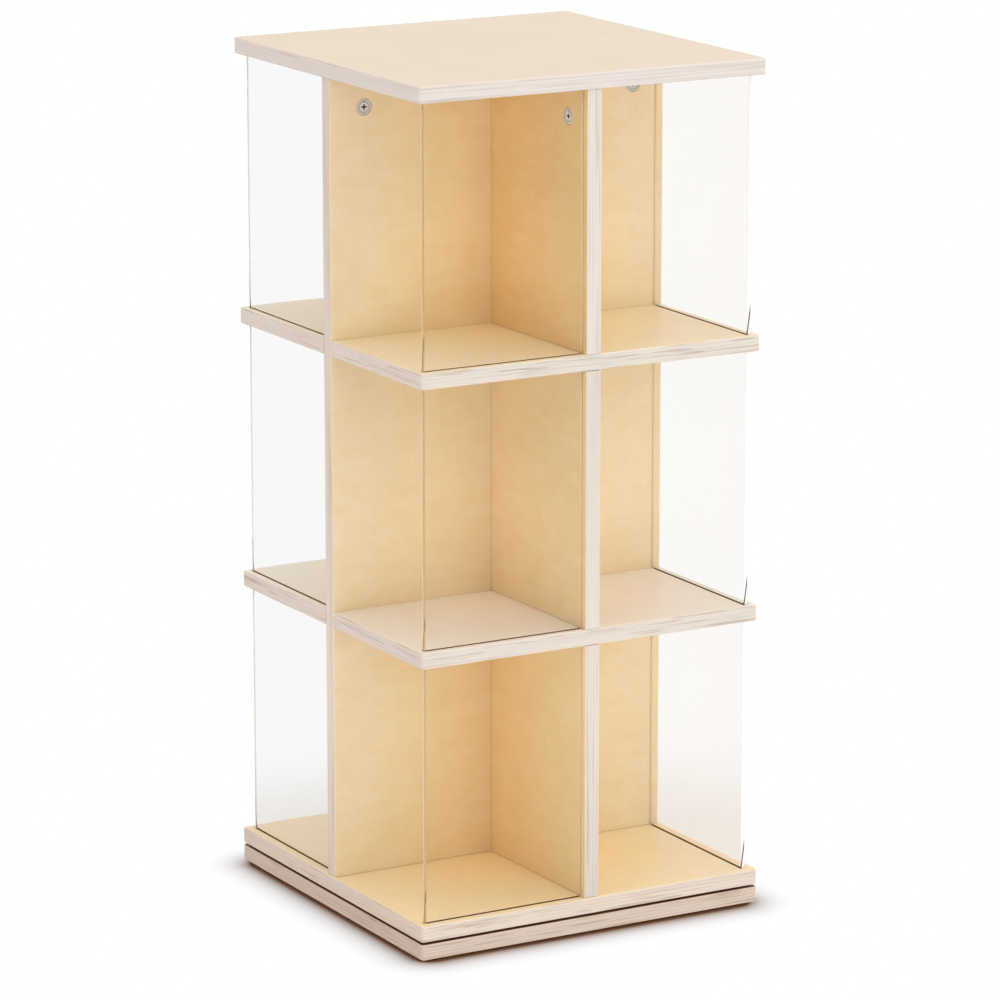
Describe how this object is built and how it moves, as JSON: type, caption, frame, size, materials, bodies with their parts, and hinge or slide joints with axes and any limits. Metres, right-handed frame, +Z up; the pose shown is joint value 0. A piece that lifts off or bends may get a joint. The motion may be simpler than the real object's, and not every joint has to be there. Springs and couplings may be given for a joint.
{
  "type": "revolving bookcase",
  "caption": "Square plywood bookcase: a tower of tiered compartments, each half closed by a clear pane, turns freely on a ball bearing over a low square base.",
  "frame": {"origin": "on the floor under the turning axis, at the middle of the base", "axes": "+Z up along the turning axis, -Y out of the front face, +X to the right seen from the front"},
  "size_m": [0.36, 0.36, 0.8045],
  "materials": {
    "birch_plywood": "clear satin lacquer, with pale layered edges",
    "clear_acrylic": "clear, polished edges",
    "nickel_plated_zinc": "dull nickel plate",
    "zinc_plated_steel": "bright zinc plate",
    "beech_dowel": "raw, sanded",
    "black_nylon": "moulded"
  },
  "bodies": {
    "base": {"base_panel": "birch_plywood", "bearing_lower_plate": "zinc_plated_steel", "bearing_lower_screw_1": "zinc_plated_steel", "bearing_lower_screw_2": "zinc_plated_steel", "bearing_lower_screw_3": "zinc_plated_steel", "glide_front_left": "black_nylon", "glide_front_right": "black_nylon", "glide_back_left": "black_nylon", "glide_back_right": "black_nylon"},
    "tower": {"deck_panel": "birch_plywood", "main_divider": "birch_plywood", "top_panel": "birch_plywood", "front_divider_bottom": "birch_plywood", "front_divider_middle": "birch_plywood", "front_divider_top": "birch_plywood", "back_divider_bottom": "birch_plywood", "back_divider_middle": "birch_plywood", "back_divider_top": "birch_plywood", "lower_shelf_front": "birch_plywood", "lower_shelf_back": "birch_plywood", "upper_shelf_front": "birch_plywood", "upper_shelf_back": "birch_plywood", "front_pane_bottom": "clear_acrylic", "front_pane_middle": "clear_acrylic", "front_pane_top": "clear_acrylic", "right_pane_bottom": "clear_acrylic", "right_pane_middle": "clear_acrylic", "right_pane_top": "clear_acrylic", "back_pane_bottom": "clear_acrylic", "back_pane_middle": "clear_acrylic", "back_pane_top": "clear_acrylic", "left_pane_bottom": "clear_acrylic", "left_pane_middle": "clear_acrylic", "left_pane_top": "clear_acrylic", "cam_left": "nickel_plated_zinc", "cam_right": "nickel_plated_zinc", "cam_front": "nickel_plated_zinc", "cam_back": "nickel_plated_zinc", "cam_bolt_left": "zinc_plated_steel", "cam_bolt_right": "zinc_plated_steel", "cam_bolt_front": "zinc_plated_steel", "cam_bolt_back": "zinc_plated_steel", "lower_upright_dowel_front": "beech_dowel", "lower_upright_dowel_back": "beech_dowel", "upper_upright_dowel_front": "beech_dowel", "upper_upright_dowel_back": "beech_dowel", "lower_level_dowel_left": "beech_dowel", "lower_level_dowel_right": "beech_dowel", "upper_level_dowel_left": "beech_dowel", "upper_level_dowel_right": "beech_dowel", "deck_screw_left": "zinc_plated_steel", "deck_screw_right": "zinc_plated_steel", "deck_screw_front": "zinc_plated_steel", "deck_screw_back": "zinc_plated_steel", "bearing_upper_plate": "zinc_plated_steel", "bearing_upper_screw_1": "zinc_plated_steel", "bearing_upper_screw_2": "zinc_plated_steel", "bearing_upper_screw_3": "zinc_plated_steel"},
    "ball_ring": {"ball_ring": "zinc_plated_steel"}
  },
  "joints": [
    {"name": "tower_turn", "type": "hinge", "parent": "base", "child": "tower", "pos_m": [0, 0, 0.019], "axis": [0, 0, 1], "continuous": true},
    {"name": "ball_ring_turn", "type": "hinge", "parent": "base", "child": "ball_ring", "pos_m": [0, 0, 0.019], "axis": [0, 0, 1], "continuous": true}
  ],
  "couplings": [
    {"joint": "ball_ring_turn", "follows": "tower_turn", "ratio": 0.5}
  ]
}
